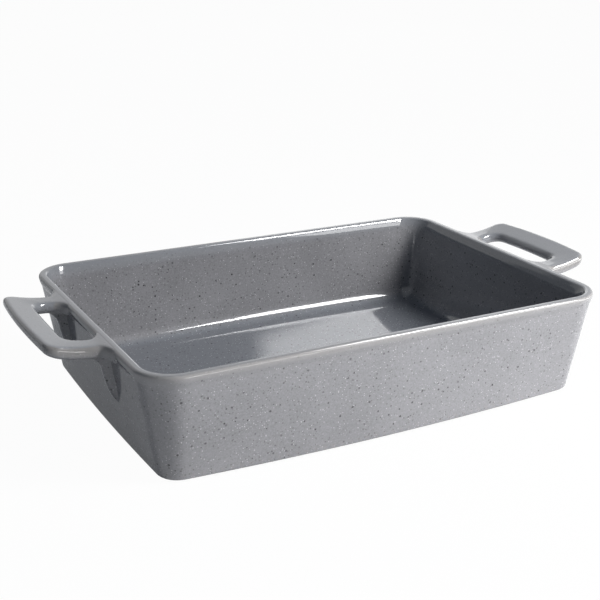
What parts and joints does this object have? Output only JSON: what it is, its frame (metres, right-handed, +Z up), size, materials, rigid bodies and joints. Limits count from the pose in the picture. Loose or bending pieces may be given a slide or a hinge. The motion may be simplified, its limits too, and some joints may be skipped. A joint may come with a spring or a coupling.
{
  "type": "baking dish",
  "caption": "Rectangular stoneware baking dish with leaning walls, a rolled lip and an upswept loop handle at each end, glazed in speckled grey.",
  "frame": {"origin": "middle of the flat foot that the dish stands on", "axes": "+X along the dish, from the left handle to the right handle; +Y across it, to the back; +Z up, out of the open top"},
  "size_m": [0.408, 0.226, 0.0773],
  "materials": {
    "glaze": "glossy speckled grey glaze",
    "bare_clay": "unglazed, wiped"
  },
  "bodies": {
    "root": {"basin": "glaze", "left_handle": "glaze", "right_handle": "glaze", "foot_ring": "bare_clay"}
  },
  "joints": []
}
